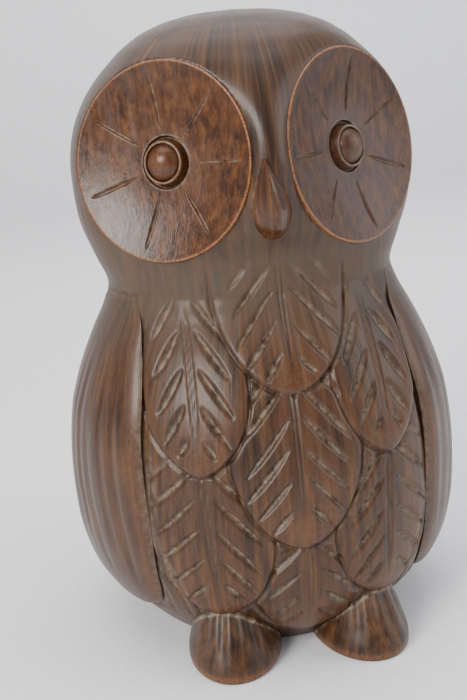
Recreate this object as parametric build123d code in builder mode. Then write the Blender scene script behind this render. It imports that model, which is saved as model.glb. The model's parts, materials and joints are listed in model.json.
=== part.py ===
from build123d import *

import os
from math import cos, radians, sin, sqrt, tan

# A carved wooden owl: a barrel body with raised wings and carved feathers, a round head with
# two dished face discs, turned eyes and a beak, standing on two feet.
#
# Frame: +X towards the owl's left, the face looks along -Y, +Z up.
# The origin is on the floor, under the middle of the body.  All sizes are in millimetres.

# ---------------------------------------------------------------- driving dimensions
body_height = 158.5  # floor to the joint under the head
belly_width = 172.0  # body at its widest, without the wings
belly_depth = 171.0  # front to back at the belly
base_width = 112.0  # flat underside of the body
base_depth = 109.0
neck_width = 128.6  # where head and body meet
neck_depth = 112.0
head_height = 112.0  # joint under the head to the crown
head_width = 150.0
head_depth = 143.4

wing_rise = 3.9  # how far a wing stands out beyond the body's side
wing_inlay = 8.0  # how deep a wing is let into the body
wing_fade = 1 / 3  # share of the body's height over which the rise dies out towards the neck
wing_inner_limit = 21.5  # the wings lie wholly outside this distance from the middle

disc_radius = 40.0
disc_lift = 54.1  # centre of a face disc above the joint under the head
disc_thickness = 8.0
disc_dish = 4.4  # hollow at the centre of a disc
dish_roundness = 0.72  # share of the hollow reached half way across the dish
disc_yaw = 35.5  # degrees that a disc is turned outwards
disc_tilt = 7.4  # degrees that a disc looks upwards
bridge_width = 15.0  # between the two discs
bridge_rise = 7.0  # how far the discs' inner edges lie behind the round of the head
ray_count = 7
ray_width = 2.0
ray_depth = 1.6
ray_start_radius = 15.5
ray_end_radius = 36.0
ray_first_angle = 10.6  # degrees from upright, outwards

eye_socket_radius = 10.7
eye_collar_radius = 8.9
eye_collar_rise = 3.0  # above the bottom of the dish
eye_channel_floor = 1.8  # thickness of a ring outside its collar
collar_bevel = 0.7
collar_lip = 0.4
bead_radius = 7.3
bead_dome = 4.75
bead_shoulder = 2.05  # straight side of a bead above the bottom of the dish
spigot_radius = 3.0
spigot_length = 8.0

beak_width = 17.5
beak_height = 33.0
beak_lift = 54.5  # upper end of the beak above the joint under the head
beak_rise = 12.0  # how far its ridge stands out of the head
beak_bridge_rise = 1.0  # how far it stands out of the bridge between the discs
beak_brow_share = 0.30  # share of the beak's height, from its top, to the end of that low part
beak_crest_share = 0.66  # the same to where the ridge stands furthest out
beak_inlay = 1.0  # behind the face of the head at the beak's tip
beak_facet_angle = 38.0  # degrees that each cheek of the beak falls back from the ridge

foot_length = 57.4
foot_width = 40.8
foot_height = 36.0
foot_spacing = 56.1  # between the centres of the feet
foot_reach = 56.8  # from the body's axis forward to the centre of a foot
foot_toe_out = 10.0  # degrees
foot_dowel_back = 5.0  # behind the middle of the sole

# Half of the beak's outline from its top to its tip: half width and height as shares of its own.
beak_shares = [
    (0.60, 0.66),
    (1.00, 0.34),
    (0.72, 0.09),
]

groove_depth = 1.6  # feather outlines and midribs
groove_width = 1.6

neck_dowel_radius = 12.0
neck_dowel_length = 60.0
wing_dowel_radius = 4.0
wing_dowel_length = 22.0
wing_dowel_grip = 7.5  # part of it that is in the wing
foot_dowel_radius = 4.0
foot_dowel_length = 32.0
foot_dowel_grip = 18.0  # part of it that is in the foot
dowel_chamfer = 1.0
end_gap = 1.0  # air left at the end of a blind hole
fit_gap = 0.1  # round each pin, spigot and inlaid piece
over_cut = 1.0  # how far a cut starts outside the wood

disc_height = body_height + disc_lift
beak_top = body_height + beak_lift

# ---------------------------------------------------------------- shapes as shares of the sizes
# Height, half width and half depth as shares of body_height, belly_width / 2 and belly_depth / 2.
body_shares = [
    (0.020, 0.692, 0.676),
    (0.063, 0.766, 0.752),
    (0.126, 0.858, 0.860),
    (0.190, 0.928, 0.936),
    (0.290, 0.983, 0.988),
    (0.400, 1.000, 1.000),
    (0.530, 0.994, 0.994),
    (0.645, 0.965, 0.962),
    (0.757, 0.913, 0.895),
    (0.858, 0.843, 0.803),
    (0.945, 0.772, 0.700),
]
# The same for the head, from its joint upwards, as shares of the head's own sizes.
head_shares = [
    (0.112, 0.913, 0.775),
    (0.250, 0.981, 0.895),
    (0.375, 1.000, 0.972),
    (0.500, 0.996, 1.000),
    (0.640, 0.940, 0.962),
    (0.750, 0.843, 0.862),
    (0.840, 0.718, 0.735),
    (0.900, 0.610, 0.625),
    (0.950, 0.470, 0.481),
    (0.980, 0.315, 0.322),
    (0.995, 0.160, 0.163),
    (1.000, 0.020, 0.020),
]
# Side view of a wing: forward of the axis and height, as shares of belly_depth / 2 and body_height.
wing_shares = [
    (-0.40, 0.965),
    (-0.54, 0.871),
    (-0.63, 0.751),
    (-0.70, 0.574),
    (-0.737, 0.410),
    (-0.725, 0.278),
    (-0.63, 0.170),
    (-0.44, 0.134),
    (-0.17, 0.148),
    (0.14, 0.215),
    (0.44, 0.353),
    (0.60, 0.555),
    (0.53, 0.770),
    (0.26, 0.940),
    (-0.10, 0.985),
]
wing_dowel_shares = (0.36, 0.70)  # shares of body_height
# Foot from the sole up: height, width and length as shares of its own, and the set-back in mm.
foot_shares = [
    (0.0, 1.0, 1.0, 0.0),
    (0.08, 1.02, 1.01, 0.0),
    (0.35, 0.92, 0.94, 1.2),
    (0.75, 0.72, 0.75, 3.5),
    (1.0, 0.62, 0.62, 6.0),
]
# Feathers from the uppermost layer down: middle, top, tip and half width, as shares of
# belly_width / 2 and body_height.
feather_shares = [
    (0.02, 0.99, 0.762, 0.31),
    (-0.47, 0.975, 0.568, 0.27),
    (0.47, 0.975, 0.568, 0.27),
    (0.0, 0.86, 0.372, 0.31),
    (-0.45, 0.63, 0.170, 0.29),
    (0.45, 0.63, 0.170, 0.29),
    (0.02, 0.47, 0.125, 0.24),
]
# Half of a feather's outline from its tip up: half width and height as shares of its own.
leaf_shares = [
    (0.62, 0.13),
    (0.98, 0.38),
    (0.86, 0.68),
]
leaf_top = 0.40  # half width at the top


def sections_of(shares, bottom, height, half_width, half_depth):
    """Turn shares into (height, half width, half depth) rows in millimetres."""
    return [(bottom + s * height, w * half_width, d * half_depth) for s, w, d in shares]


body_sections = [(0, base_width / 2, base_depth / 2)]
body_sections += sections_of(body_shares, 0, body_height, belly_width / 2, belly_depth / 2)
body_sections += [(body_height, neck_width / 2, neck_depth / 2)]
head_sections = [(body_height, neck_width / 2, neck_depth / 2)]
head_sections += sections_of(head_shares, body_height, head_height, head_width / 2, head_depth / 2)


def stacked(sections, widen=0.0, deepen=0.0):
    """A smooth body through a stack of ellipses; widen and deepen are added to the half sizes."""
    with BuildPart() as body:
        for height, half_width, half_depth in sections:
            with BuildSketch(Plane.XY.offset(height)):
                Ellipse(half_width + widen, half_depth + deepen)
        loft()
    return body.part


def half_size(sections, height, column):
    """Half width (column 1) or half depth (column 2) of a stack at a height."""
    for low, high in zip(sections, sections[1:]):
        if low[0] <= height <= high[0]:
            share = (height - low[0]) / (high[0] - low[0])
            return low[column] + share * (high[column] - low[column])
    return sections[-1][column]


# ---------------------------------------------------------------- feet
with BuildPart() as foot_blank:
    foot_plane = Plane(
        origin=(foot_spacing / 2, -foot_reach, 0),
        x_dir=(cos(radians(foot_toe_out)), sin(radians(foot_toe_out)), 0),
        z_dir=(0, 0, 1),
    )
    for level, width, length, back in foot_shares:
        with BuildSketch(foot_plane.offset(level * foot_height)):
            with Locations((0, back)):
                Ellipse(width * foot_width / 2, length * foot_length / 2)
    loft()

foot_dowel_plane = foot_plane.offset(foot_height - foot_dowel_grip)

with BuildPart() as foot_dowel_hole:
    with BuildSketch(foot_dowel_plane.offset(-end_gap)):
        with Locations((0, foot_dowel_back)):
            Circle(foot_dowel_radius + fit_gap)
    extrude(amount=foot_dowel_length + 2 * end_gap)

with BuildPart() as left_foot:
    add(foot_blank.part)
    add(foot_dowel_hole.part, mode=Mode.SUBTRACT)

with BuildPart() as right_foot:
    mirror(left_foot.part, about=Plane.YZ)

with BuildPart() as foot_dowels:
    with BuildSketch(foot_dowel_plane):
        with Locations((0, foot_dowel_back)):
            Circle(foot_dowel_radius)
    extrude(amount=foot_dowel_length)
    mirror(about=Plane.YZ)

# ---------------------------------------------------------------- wings
# The wing swells out beyond the body, most at the belly and not at all at the neck.
wing_sections = [
    (z, w + wing_rise * min(1.0, (1 - z / body_height) / wing_fade), d)
    for z, w, d in body_sections
]
wing_outline = [(y * belly_depth / 2, z * body_height) for y, z in wing_shares]
wing_body = stacked(wing_sections)
wing_bed = stacked(body_sections, -wing_inlay, -wing_inlay)

with BuildPart() as wing_blank:
    with BuildSketch(Plane.YZ.offset(wing_inner_limit)):
        with BuildLine():
            Spline(wing_outline, periodic=True)
        make_face()
    extrude(amount=belly_width)
    add(wing_body, mode=Mode.INTERSECT)
    add(wing_bed, mode=Mode.SUBTRACT)
    add(foot_blank.part, mode=Mode.SUBTRACT)


def wing_dowel_plane(share):
    """Upright plane at the inner end of a wing dowel, a share of the body's height up."""
    height = share * body_height
    joint = half_size(body_sections, height, 1) - wing_inlay
    inner_end = joint + wing_dowel_grip - wing_dowel_length
    return Plane(origin=(inner_end, 0, height), x_dir=(0, 1, 0), z_dir=(1, 0, 0))


with BuildPart() as wing_dowel_holes:
    for share in wing_dowel_shares:
        with BuildSketch(wing_dowel_plane(share).offset(-end_gap)):
            Circle(wing_dowel_radius + fit_gap)
    extrude(amount=wing_dowel_length + 2 * end_gap)

with BuildPart() as left_wing:
    add(wing_blank.part)
    add(wing_dowel_holes.part, mode=Mode.SUBTRACT)

with BuildPart() as right_wing:
    mirror(left_wing.part, about=Plane.YZ)

with BuildPart() as wing_dowels:
    for share in wing_dowel_shares:
        with BuildSketch(wing_dowel_plane(share)):
            Circle(wing_dowel_radius)
    extrude(amount=wing_dowel_length)
    mirror(about=Plane.YZ)

# ---------------------------------------------------------------- face
yaw = radians(disc_yaw)
tilt = radians(disc_tilt)
disc_normal = Vector(sin(yaw) * cos(tilt), -cos(yaw) * cos(tilt), sin(tilt))
disc_across = Vector(cos(yaw), sin(yaw), 0)
bridge_face = half_size(head_sections, disc_height, 2)
bridge_face *= sqrt(1 - (bridge_width / 2 / half_size(head_sections, disc_height, 1)) ** 2)
inner_edge = Vector(bridge_width / 2, bridge_rise - bridge_face, disc_height)
disc_centre = inner_edge + disc_across * disc_radius
disc_plane = Plane(origin=disc_centre, x_dir=disc_across, z_dir=disc_normal)
turning_plane = Plane(origin=disc_centre, x_dir=disc_across, z_dir=disc_across.cross(disc_normal))
turning_axis = Axis(disc_centre, disc_normal)

with BuildPart() as left_face_disc:
    with BuildSketch(turning_plane):
        with BuildLine():
            Polyline(
                (eye_socket_radius, -disc_dish),
                (eye_socket_radius, -disc_thickness),
                (disc_radius, -disc_thickness),
                (disc_radius, 0),
            )
            dish_middle = ((disc_radius + eye_socket_radius) / 2, -dish_roundness * disc_dish)
            ThreePointArc((disc_radius, 0), dish_middle, (eye_socket_radius, -disc_dish))
        make_face()
    revolve(axis=turning_axis)
    # rays, cut down to a level just below the bottom of the dish
    with BuildSketch(disc_plane.offset(over_cut)):
        ray_middle = (ray_start_radius + ray_end_radius) / 2
        with PolarLocations(ray_middle, ray_count, start_angle=90 - ray_first_angle):
            SlotOverall(ray_end_radius - ray_start_radius, ray_width)
    extrude(amount=-over_cut - disc_dish - ray_depth / 2, mode=Mode.SUBTRACT)

with BuildPart() as left_eye_ring:
    ring_outer = eye_socket_radius - fit_gap
    ring_bore = bead_radius + fit_gap
    collar_top = eye_collar_rise - disc_dish
    channel = eye_channel_floor - disc_thickness
    with BuildSketch(turning_plane):
        with BuildLine():
            Polyline(
                (ring_bore, -disc_thickness),
                (ring_outer, -disc_thickness),
                (ring_outer, channel),
                (eye_collar_radius, channel),
                (eye_collar_radius, collar_top - collar_bevel),
                (ring_bore + collar_lip, collar_top),
                (ring_bore, collar_top - collar_lip),
                close=True,
            )
        make_face()
    revolve(axis=turning_axis)

with BuildPart() as left_eye_bead:
    dome_foot = bead_shoulder - disc_dish
    dome_radius = (bead_radius**2 + bead_dome**2) / (2 * bead_dome)
    half_way = radians(45) * bead_dome / bead_radius
    dome_middle = (
        dome_radius * sin(half_way),
        dome_foot + bead_dome - dome_radius * (1 - cos(half_way)),
    )
    with BuildSketch(turning_plane):
        with BuildLine():
            Polyline(
                (0, dome_foot + bead_dome),
                (0, -disc_thickness - spigot_length),
                (spigot_radius, -disc_thickness - spigot_length),
                (spigot_radius, -disc_thickness),
                (bead_radius, -disc_thickness),
                (bead_radius, dome_foot),
            )
            ThreePointArc((bead_radius, dome_foot), dome_middle, (0, dome_foot + bead_dome))
        make_face()
    revolve(axis=turning_axis)

beak_tip = beak_top - beak_height
beak_foot = half_size(head_sections, beak_tip, 2)
beak_back = beak_foot - beak_inlay
bridge_front = bridge_width / 2 * tan(yaw) - inner_edge.Y  # where the planes of the discs meet
beak_front = beak_foot + beak_rise


def beak_outline():
    """Teardrop front view of the beak, narrow at the top and round at the tip."""
    sides = [(w * beak_width / 2, beak_tip + h * beak_height) for w, h in beak_shares]
    with BuildLine() as outline:
        Spline((0, beak_top), *sides, (0, beak_tip), tangents=[(0.45, -1), (-1, 0)])
        mirror(about=Plane.YZ)
    return outline.line


with BuildPart() as beak:
    with BuildSketch(Plane.XZ.offset(beak_back)):
        with BuildLine():
            add(beak_outline())
        make_face()
    extrude(amount=beak_front - beak_back)
    # seen from the side, the ridge swells forward and rounds down to the tip
    with BuildSketch(Plane.YZ.offset(-beak_width)):
        with BuildLine():
            Polyline(
                (-beak_foot - over_cut, beak_tip),
                (-beak_back, beak_tip),
                (-beak_back, beak_top),
                (-bridge_front, beak_top),
            )
            Spline(
                (-bridge_front, beak_top),
                (-bridge_front - beak_bridge_rise, beak_top - beak_height * beak_brow_share),
                (-beak_front, beak_top - beak_height * beak_crest_share),
                (-beak_foot - over_cut, beak_tip),
            )
        make_face()
    extrude(amount=2 * beak_width, mode=Mode.INTERSECT)
    # two flat cheeks that fall back from the ridge
    with BuildSketch(Plane.XY.offset(beak_tip - over_cut)):
        fall = beak_width * tan(radians(beak_facet_angle))
        with BuildLine():
            Polyline(
                (0, -beak_front),
                (beak_width, fall - beak_front),
                (beak_width, 2 * beak_width - beak_back),
                (-beak_width, 2 * beak_width - beak_back),
                (-beak_width, fall - beak_front),
                close=True,
            )
        make_face()
    extrude(amount=beak_height + 2 * over_cut, mode=Mode.INTERSECT)
    # scribed to the rims of the discs
    add(left_face_disc.part, mode=Mode.SUBTRACT)
    mirror(left_face_disc.part, about=Plane.YZ, mode=Mode.SUBTRACT)

# ---------------------------------------------------------------- head
with BuildPart() as head:
    add(stacked(head_sections))
    # housing for the beak
    with BuildSketch(Plane.XZ.offset(beak_back)):
        with BuildLine():
            add(beak_outline())
        make_face()
    extrude(amount=head_depth, mode=Mode.SUBTRACT)
    # the wood round the discs is worked down to the planes of their rims, which meet in a bridge
    with BuildSketch(disc_plane):
        Rectangle(2 * head_width, 2 * head_height)
    left_face = extrude(amount=head_depth, mode=Mode.SUBTRACT)
    mirror(left_face, about=Plane.YZ, mode=Mode.SUBTRACT)
    # seats for the discs, with a small blind hole for the spigot of each bead
    with BuildSketch(disc_plane.offset(-disc_thickness)):
        Circle(disc_radius + fit_gap)
    left_seat = extrude(amount=disc_radius, mode=Mode.SUBTRACT)
    mirror(left_seat, about=Plane.YZ, mode=Mode.SUBTRACT)
    with BuildSketch(disc_plane.offset(-disc_thickness)):
        Circle(spigot_radius + fit_gap)
    left_hole = extrude(amount=-spigot_length - end_gap, mode=Mode.SUBTRACT)
    mirror(left_hole, about=Plane.YZ, mode=Mode.SUBTRACT)
    # hole for the neck dowel
    with BuildSketch(Plane.XY.offset(body_height)):
        Circle(neck_dowel_radius + fit_gap)
    extrude(amount=neck_dowel_length / 2 + end_gap, mode=Mode.SUBTRACT)

# ---------------------------------------------------------------- feathers
def feather_outline(middle, top, tip, half_width):
    """One leaf-shaped feather: narrow under its neighbours, widest low down, round at the tip."""
    sides = [(middle + w * half_width, tip + h * (top - tip)) for w, h in leaf_shares]
    corner = half_width * leaf_top
    Spline((middle, tip), *sides, (middle + corner, top), tangents=[(1, 0), (-0.4, 1)])
    mirror(about=Plane(origin=(middle, 0, 0), z_dir=(1, 0, 0)))
    Line((middle + corner, top), (middle - corner, top))


feathers = [
    (m * belly_width / 2, top * body_height, tip * body_height, w * belly_width / 2)
    for m, top, tip, w in feather_shares
]

# The carving is drawn on an upright plane, lowest layer first, so that each feather
# hides what lies under it, and then cut into the front of the body.
with BuildSketch(Plane.XZ.offset(belly_depth / 12)) as carving_lines:
    for middle, top, tip, half_width in reversed(feathers):
        with BuildLine():
            feather_outline(middle, top, tip, half_width)
        make_face()
        with BuildLine():
            feather_outline(middle, top + groove_width, tip + groove_width, half_width - groove_width)
        make_face(mode=Mode.SUBTRACT)
        midrib_low = tip + 4 * groove_width
        midrib_high = min(top, body_height) - 4 * groove_width
        with Locations((middle, (midrib_low + midrib_high) / 2)):
            Rectangle(groove_width, midrib_high - midrib_low)

# ---------------------------------------------------------------- body
carving_bed = stacked(body_sections, -groove_depth, -groove_depth)

# The feather lines are cut straight back from the front, all at once and without merging
# faces, and the inner body is put back behind them.
feather_cuts = [
    extrude(line, amount=belly_depth, dir=(0, -1, 0)).solid()
    for line in carving_lines.sketch.faces()
]
carved_body = stacked(body_sections).cut(*feather_cuts).fuse(carving_bed)

with BuildPart() as torso:
    add(carved_body, clean=False)
    # beds for the wings, housings for the feet and the dowel holes behind both
    for side_piece in (wing_blank, wing_dowel_holes, foot_blank, foot_dowel_hole):
        add(side_piece.part, mode=Mode.SUBTRACT)
        mirror(side_piece.part, about=Plane.YZ, mode=Mode.SUBTRACT)
    with BuildSketch(Plane.XY.offset(body_height)):
        Circle(neck_dowel_radius + fit_gap)
    extrude(amount=-neck_dowel_length / 2 - end_gap, mode=Mode.SUBTRACT)

with BuildPart() as neck_dowel:
    with BuildSketch(Plane.XY.offset(body_height - neck_dowel_length / 2)):
        Circle(neck_dowel_radius)
    extrude(amount=neck_dowel_length)
    chamfer(neck_dowel.edges().filter_by(GeomType.CIRCLE), dowel_chamfer)

# ---------------------------------------------------------------- right-hand pieces and export
with BuildPart() as right_face_disc:
    mirror(left_face_disc.part, about=Plane.YZ)
with BuildPart() as right_eye_ring:
    mirror(left_eye_ring.part, about=Plane.YZ)
with BuildPart() as right_eye_bead:
    mirror(left_eye_bead.part, about=Plane.YZ)

pieces = {
    "torso": torso,
    "head": head,
    "left_wing": left_wing,
    "right_wing": right_wing,
    "left_foot": left_foot,
    "right_foot": right_foot,
    "left_face_disc": left_face_disc,
    "right_face_disc": right_face_disc,
    "left_eye_ring": left_eye_ring,
    "right_eye_ring": right_eye_ring,
    "left_eye_bead": left_eye_bead,
    "right_eye_bead": right_eye_bead,
    "beak": beak,
    "neck_dowel": neck_dowel,
    "wing_dowels": wing_dowels,
    "foot_dowels": foot_dowels,
}
os.makedirs("parts", exist_ok=True)
for name, piece in pieces.items():
    piece.part.label = name
    export_step(piece.part, f"parts/{name}.step")
    print(f"{name}: {piece.part.volume / 1000:.1f} cm3, {len(piece.part.solids())} solid(s)")
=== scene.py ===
# %% [markdown]
# # A carved wooden owl
# The real owl is carved and turned from a close-grained hardwood, stained dark brown,
# lacquered to a satin gloss, and rubbed with a pale wax that stays in every cut.
# The frame comes first: the joined pieces, their sizes and their places are already settled,
# so every new piece below takes its place from that frame.

# %% Load the frame
import json
from math import cos, pi, radians, sin, tau

import bmesh
import bpy
import numpy as np
from mathutils import Matrix, Vector

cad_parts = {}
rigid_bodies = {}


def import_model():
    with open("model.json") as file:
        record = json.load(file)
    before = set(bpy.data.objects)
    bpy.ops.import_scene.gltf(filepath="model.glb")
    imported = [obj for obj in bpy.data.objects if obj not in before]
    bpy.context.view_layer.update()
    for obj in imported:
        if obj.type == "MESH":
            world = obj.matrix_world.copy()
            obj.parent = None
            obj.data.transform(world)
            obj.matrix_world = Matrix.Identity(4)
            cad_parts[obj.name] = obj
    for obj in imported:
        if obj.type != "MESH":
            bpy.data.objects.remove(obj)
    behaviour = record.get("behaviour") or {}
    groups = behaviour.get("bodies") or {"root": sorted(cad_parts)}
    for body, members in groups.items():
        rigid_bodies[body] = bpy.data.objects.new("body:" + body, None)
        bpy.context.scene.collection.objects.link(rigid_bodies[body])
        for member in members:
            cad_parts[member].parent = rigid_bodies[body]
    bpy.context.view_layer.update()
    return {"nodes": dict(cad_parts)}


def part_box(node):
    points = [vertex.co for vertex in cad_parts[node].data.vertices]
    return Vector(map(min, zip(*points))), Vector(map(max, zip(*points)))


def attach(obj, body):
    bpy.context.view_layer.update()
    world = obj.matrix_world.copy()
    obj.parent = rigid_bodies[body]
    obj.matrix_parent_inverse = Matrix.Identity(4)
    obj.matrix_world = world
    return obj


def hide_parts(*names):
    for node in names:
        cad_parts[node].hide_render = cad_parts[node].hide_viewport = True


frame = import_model()
MM = 0.001
ROOT = "root"
rng = np.random.default_rng(7)

# %% [markdown]
# ## Camera
# The owl is seen from slightly above and slightly to its right-hand side, from about half a metre
# away, so its nearer parts look larger.  A camera needs a place, three axes and a lens: the axes
# are written as the columns of a matrix, right, up and backwards.

# %% Camera
camera_place = Vector((-79.6, -452.2, 249.8)) * MM
right = Vector((0.9823, -0.172, -0.0737)).normalized()
ahead = Vector((0.146, 0.9509, -0.2728)).normalized()
up = right.cross(ahead).normalized()
camera_data = bpy.data.cameras.new("camera")
camera_data.lens = 52.5
camera_data.clip_start = 0.01
camera = bpy.data.objects.new("camera", camera_data)
axes = Matrix((right, up, -ahead)).transposed()
camera.matrix_world = Matrix.Translation(camera_place) @ axes.to_4x4()
bpy.context.collection.objects.link(camera)
bpy.context.scene.camera = camera
print("camera at", [round(v, 3) for v in camera.location])

# %% [markdown]
# ## Body sections
# The body and the head are both stacks of ellipses.  A short list gives each ellipse's height,
# half width and half depth as shares of the piece's own size, and a smooth curve runs through
# the list.  Everything that lies on the body, such as a wing or a feather, uses the same curve.

# %% Section curves
def smooth_curve(knots, values, at, level_end=None):
    """A smooth curve through the knots (cubic Hermite); level_end 0 or -1 flattens that end."""
    knots, values, at = np.asarray(knots), np.asarray(values), np.asarray(at, float)
    slopes = np.gradient(values, knots)
    if level_end is not None:
        slopes[level_end] = 0
    low = np.clip(np.searchsorted(knots, at) - 1, 0, len(knots) - 2)
    span = knots[low + 1] - knots[low]
    t = np.clip((at - knots[low]) / span, 0, 1)
    start = (1 + 2 * t) * (1 - t) ** 2 * values[low] + t * (1 - t) ** 2 * span * slopes[low]
    end = t * t * (3 - 2 * t) * values[low + 1] - t * t * (1 - t) * span * slopes[low + 1]
    return start + end


wing_rise = 3.9 * MM
torso_high = np.array(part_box("torso")[1])
head_low, head_high = (np.array(c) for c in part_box("head"))
joint_height = torso_high[2]
half_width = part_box("left_wing")[1][0] - wing_rise
half_depth = torso_high[1]
head_tall = head_high[2] - head_low[2]
head_half_width = (head_high[0] - head_low[0]) / 2
head_half_depth = head_high[1]

body_rows = np.array([
    (0.000, 0.651, 0.637), (0.020, 0.692, 0.676), (0.063, 0.766, 0.752), (0.126, 0.858, 0.860),
    (0.190, 0.928, 0.936), (0.290, 0.983, 0.988), (0.400, 1.000, 1.000), (0.530, 0.994, 0.994),
    (0.645, 0.965, 0.962), (0.757, 0.913, 0.895), (0.858, 0.843, 0.803), (0.945, 0.772, 0.700),
    (1.000, 0.748, 0.655),
])
head_rows = np.array([
    (0.000, 0.857, 0.781), (0.112, 0.913, 0.775), (0.250, 0.981, 0.895), (0.375, 1.000, 0.972),
    (0.500, 0.996, 1.000), (0.640, 0.940, 0.962), (0.750, 0.843, 0.862), (0.840, 0.718, 0.735),
    (0.900, 0.610, 0.625), (0.950, 0.470, 0.481), (0.980, 0.315, 0.322), (0.995, 0.160, 0.163),
    (1.000, 0.020, 0.020),
])


def body_section(height):
    """Half width and half depth of the body at a height, in metres."""
    share = np.asarray(height) / joint_height
    wide = smooth_curve(body_rows[:, 0], body_rows[:, 1], share, -1) * half_width
    deep = smooth_curve(body_rows[:, 0], body_rows[:, 2], share, -1) * half_depth
    return wide, deep


def head_section(height):
    """The same for the head."""
    share = (np.asarray(height) - joint_height) / head_tall
    wide = smooth_curve(head_rows[:, 0], head_rows[:, 1], share, 0) * head_half_width
    deep = smooth_curve(head_rows[:, 0], head_rows[:, 2], share, 0) * head_half_depth
    return wide, deep


print("body", round(half_width / MM, 1), round(half_depth / MM, 1), "joint", round(joint_height / MM, 1))

# %% [markdown]
# ## Helpers for sculpting
# A sculpted piece starts as a plain turned or gridded mesh.  Its points are then read into one
# array, moved all at once, and written back.  Three things are kept on each point for the finish:
# *wax* is high where a cut holds pale wax, *worn* is high on edges where the stain is rubbed thin,
# and *brush* is a place whose third axis follows the brush marks.

# %% Mesh helpers
def points_of(mesh):
    """All points of a mesh as an N x 3 array."""
    flat = np.empty(len(mesh.vertices) * 3)
    mesh.vertices.foreach_get("co", flat)
    return flat.reshape(-1, 3)


def normals_of(mesh):
    """Outward direction at each point."""
    flat = np.empty(len(mesh.vertices) * 3)
    mesh.vertices.foreach_get("normal", flat)
    return flat.reshape(-1, 3)


def set_points(mesh, points):
    mesh.vertices.foreach_set("co", np.ascontiguousarray(points).ravel())
    mesh.update()


def keep_number(mesh, name, values):
    """Store one number per point, for the material to read."""
    layer = mesh.attributes.new(name, "FLOAT", "POINT")
    layer.data.foreach_set("value", np.ascontiguousarray(values, dtype=np.float32))


def keep_brush(mesh, places):
    """Store, in metres, where each point lies for the brush marks, which run along the third axis."""
    layer = mesh.attributes.new("brush", "FLOAT_VECTOR", "POINT")
    layer.data.foreach_set("vector", np.ascontiguousarray(places, dtype=np.float32).ravel())


def finish_mesh(bm, name):
    """Weld, close and orient a bmesh, and turn it into a mesh with smooth faces and crisp corners."""
    bmesh.ops.remove_doubles(bm, verts=bm.verts, dist=0.02 * MM)
    bmesh.ops.dissolve_degenerate(bm, edges=bm.edges, dist=0.005 * MM)
    bmesh.ops.recalc_face_normals(bm, faces=bm.faces)
    mesh = bpy.data.meshes.new(name)
    bm.to_mesh(mesh)
    bm.free()
    mesh.shade_smooth()
    mesh.set_sharp_from_angle(angle=radians(62))
    return mesh


def add_piece(name, mesh, slot, *replaced):
    """Make the object, ride it on the body, and hide the frame nodes that it stands for."""
    if "brush" not in mesh.attributes:
        keep_brush(mesh, points_of(mesh))
    piece = bpy.data.objects.new(name, mesh)
    bpy.context.collection.objects.link(piece)
    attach(piece, ROOT)
    if replaced:
        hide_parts(*replaced)
    print(f"{name}: {len(mesh.polygons)} faces")


def step_up(x):
    """0 below 0, 1 above 1, and smooth between."""
    x = np.clip(x, 0, 1)
    return x * x * (3 - 2 * x)


def stroke(across, along, start, end, width, depth, blunt=0.6):
    """Depth of one V-cut of a gouge from start to end, tapered at both ends."""
    start, end = np.array(start), np.array(end)
    run = end - start
    length = np.hypot(*run)
    t = ((across - start[0]) * run[0] + (along - start[1]) * run[1]) / length**2
    off = np.abs((across - start[0]) * run[1] - (along - start[1]) * run[0]) / length
    inside = (t > 0) & (t < 1)
    swell = np.where(inside, np.sin(pi * np.clip(t, 0, 1)) ** blunt, 0)
    half = np.maximum(width / 2 * swell, 1e-9)
    return depth * swell * np.clip(1 - off / half, 0, 1)


def spun(profile, steps, name):
    """Turn a profile of (radius, height) points round the Z axis, as on a lathe."""
    bm = bmesh.new()
    verts = [bm.verts.new((r, 0, z)) for r, z in profile]
    edges = [bm.edges.new(pair) for pair in zip(verts, verts[1:])]
    bmesh.ops.spin(
        bm, geom=verts + edges, cent=(0, 0, 0), axis=(0, 0, 1), angle=tau, steps=steps, use_merge=True
    )
    return finish_mesh(bm, name)

# %% [markdown]
# ## Feathers
# The breast carries seven big feathers that overlap like roof tiles.  Each one is a leaf shape
# with a midrib and pairs of slanting gouge cuts.  They are written down from the lowest layer to
# the top, and worked out as a height on the body: where a feather lies, it hides what is under it.

# %% Feather list
# middle, tip height, length of the rounded end, half width, roundness, top, lean,
# then the height of the lowest cut above the tip, the step between cuts, their number
# and how steeply they run down
feathers = [
    (2, 12, 38, 26, 0.55, 70, 0.00, 15, 11.0, 4, 0.9),
    (-35, 26.5, 40, 25, 0.58, 100, -0.06, 17, 12.5, 6, 1.05),
    (35.5, 26, 40, 24, 0.58, 100, 0.06, 17, 12.5, 6, 1.05),
    (-0.5, 58.5, 42, 27.5, 0.58, 135, 0.01, 18, 12.0, 6, 1.1),
    (-39, 90, 34, 21, 0.66, 162, 0.03, 15, 13.5, 5, 1.55),
    (40, 90.5, 34, 20, 0.66, 162, -0.05, 15, 13.5, 5, 1.55),
    (1.0, 121, 40, 28, 0.52, 186, 0.03, 14, 12.2, 5, 1.15),
]
CUT_WIDTH = 3.7
CUT_DEPTH = 2.2


def feather_edge(z, tip, length, wide, roundness):
    """Half width of a feather at a height, and how fast it widens."""
    t = np.clip((z - tip) / length, 1e-3, 1)
    edge = wide * (1 - (1 - t) ** 2) ** roundness
    slope = wide * roundness * 2 * (1 - t) / length * (1 - (1 - t) ** 2) ** (roundness - 1)
    return edge, slope


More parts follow.
